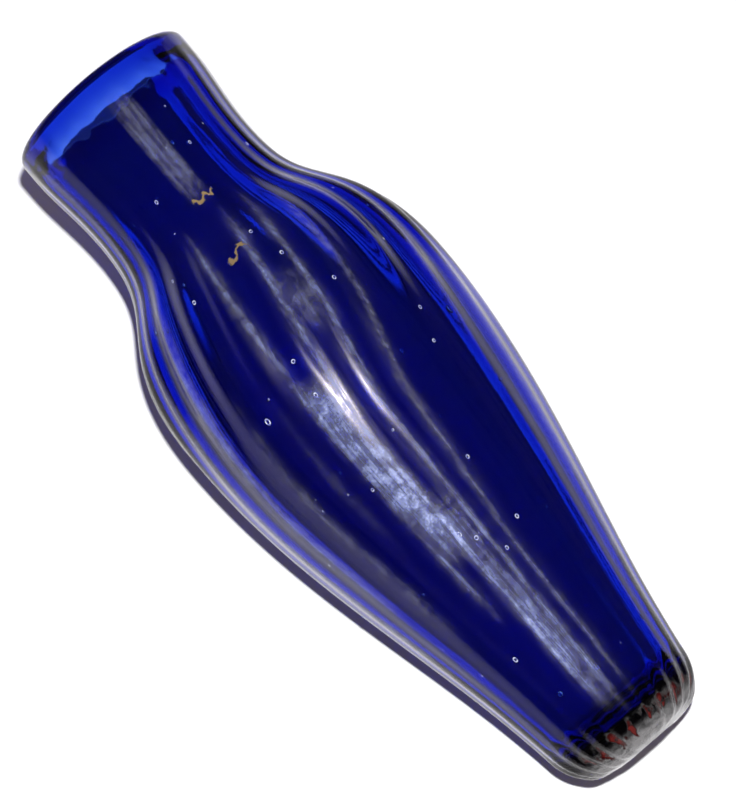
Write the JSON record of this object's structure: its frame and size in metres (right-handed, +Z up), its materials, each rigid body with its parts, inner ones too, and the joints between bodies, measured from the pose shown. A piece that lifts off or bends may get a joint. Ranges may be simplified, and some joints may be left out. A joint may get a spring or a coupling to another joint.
{
  "type": "glass bottle",
  "caption": "Mould-ribbed blown glass bottle of cobalt blue, lying on its side: wide plain mouth, short neck, swelling shoulder and a long taper to a small foot.",
  "frame": {"origin": "bottom centre of the bottle's box as it lies at rest on a level surface", "axes": "+X from the mouth towards the foot, +Z up; the bottle's own axis lies in the XZ plane, 8.3 degrees from level with the mouth the higher end"},
  "size_m": [0.2032, 0.0772, 0.0789],
  "materials": {
    "cobalt_glass": "fire-polished cobalt-blue glass with seeds, fine scratches and a hazy bloom on the rib crests",
    "scar_glass": "rough broken cobalt-blue glass"
  },
  "bodies": {
    "root": {"glass_body": "cobalt_glass", "pontil_scar": "scar_glass"}
  },
  "joints": []
}
